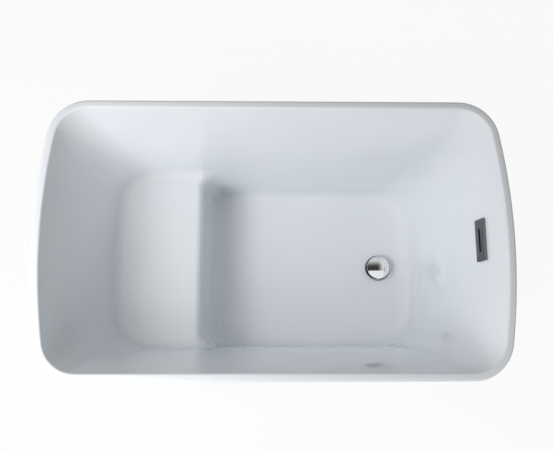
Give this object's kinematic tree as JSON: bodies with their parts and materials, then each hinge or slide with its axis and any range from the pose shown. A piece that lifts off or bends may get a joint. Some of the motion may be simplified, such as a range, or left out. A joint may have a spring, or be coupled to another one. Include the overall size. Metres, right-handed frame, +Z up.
{
  "type": "soaking bathtub",
  "caption": "Free-standing white acrylic soaking bath with a moulded seat, slim rim, pop-up drain, slot overflow and levelling feet.",
  "frame": {"origin": "on the room floor, under the middle of the rim", "axes": "+X towards the drain end, along the bath; +Y across it; +Z up"},
  "size_m": [1.2, 0.71, 0.63],
  "materials": {
    "acrylic": "high gloss white acrylic",
    "laminate": "rough fibre laminate",
    "bond": "bonding paste",
    "board": "raw board",
    "frame_steel": "grey paint",
    "zinc": "zinc plated",
    "foot_rubber": "matte",
    "chrome": "polished",
    "seal": "matte",
    "brass": "machined",
    "spring_steel": "drawn wire",
    "waste_plastic": "moulded",
    "hose": "soft satin",
    "gunmetal": "brushed gunmetal",
    "screw_steel": "plain"
  },
  "bodies": {
    "tub": {"inner_basin": "acrylic", "outer_skirt": "acrylic", "basin_laminate": "laminate", "skirt_laminate": "laminate", "rim_bond": "bond", "floor_board": "board", "seat_board": "board", "skirt_batten_near": "board", "skirt_batten_far": "board", "seat_posts": "frame_steel", "frame_rail_near": "frame_steel", "frame_rail_far": "frame_steel", "frame_crossbar_seat": "frame_steel", "frame_crossbar_middle": "frame_steel", "frame_crossbar_drain": "frame_steel", "foot_brackets": "frame_steel", "frame_screws": "zinc", "foot_lock_nuts": "zinc", "hose_clip_upper": "zinc", "hose_clip_lower": "zinc", "drain_flange": "chrome", "drain_top_gasket": "seal", "drain_bottom_gasket": "seal", "tee_seal": "seal", "overflow_gasket": "seal", "drain_back_nut": "brass", "drain_spring": "spring_steel", "waste_tee": "waste_plastic", "drain_slip_washer": "waste_plastic", "overflow_body": "waste_plastic", "overflow_frame": "waste_plastic", "overflow_hose": "hose", "overflow_cover": "gunmetal", "overflow_screws": "screw_steel"},
    "drain_plug": {"drain_cap": "chrome", "drain_cap_seal": "seal", "drain_stem": "brass", "drain_stem_clip": "spring_steel"},
    "foot_seat_near": {"foot_stud_seat_near": "zinc", "foot_pad_seat_near": "foot_rubber"},
    "foot_seat_far": {"foot_stud_seat_far": "zinc", "foot_pad_seat_far": "foot_rubber"},
    "foot_drain_near": {"foot_stud_drain_near": "zinc", "foot_pad_drain_near": "foot_rubber"},
    "foot_drain_far": {"foot_stud_drain_far": "zinc", "foot_pad_drain_far": "foot_rubber"}
  },
  "joints": [
    {"name": "drain_popup", "type": "slide", "parent": "tub", "child": "drain_plug", "axis": [0, 0, 1], "range_m": [-0.01, 0], "stiffness_N_per_m": 500, "springref_m": 0.012, "deforming": ["drain_spring"]},
    {"name": "foot_level_seat_near", "type": "slide", "parent": "tub", "child": "foot_seat_near", "axis": [0, 0, -1], "range_m": [-0.005, 0.02]},
    {"name": "foot_level_seat_far", "type": "slide", "parent": "tub", "child": "foot_seat_far", "axis": [0, 0, -1], "range_m": [-0.005, 0.02]},
    {"name": "foot_level_drain_near", "type": "slide", "parent": "tub", "child": "foot_drain_near", "axis": [0, 0, -1], "range_m": [-0.005, 0.02]},
    {"name": "foot_level_drain_far", "type": "slide", "parent": "tub", "child": "foot_drain_far", "axis": [0, 0, -1], "range_m": [-0.005, 0.02]}
  ]
}
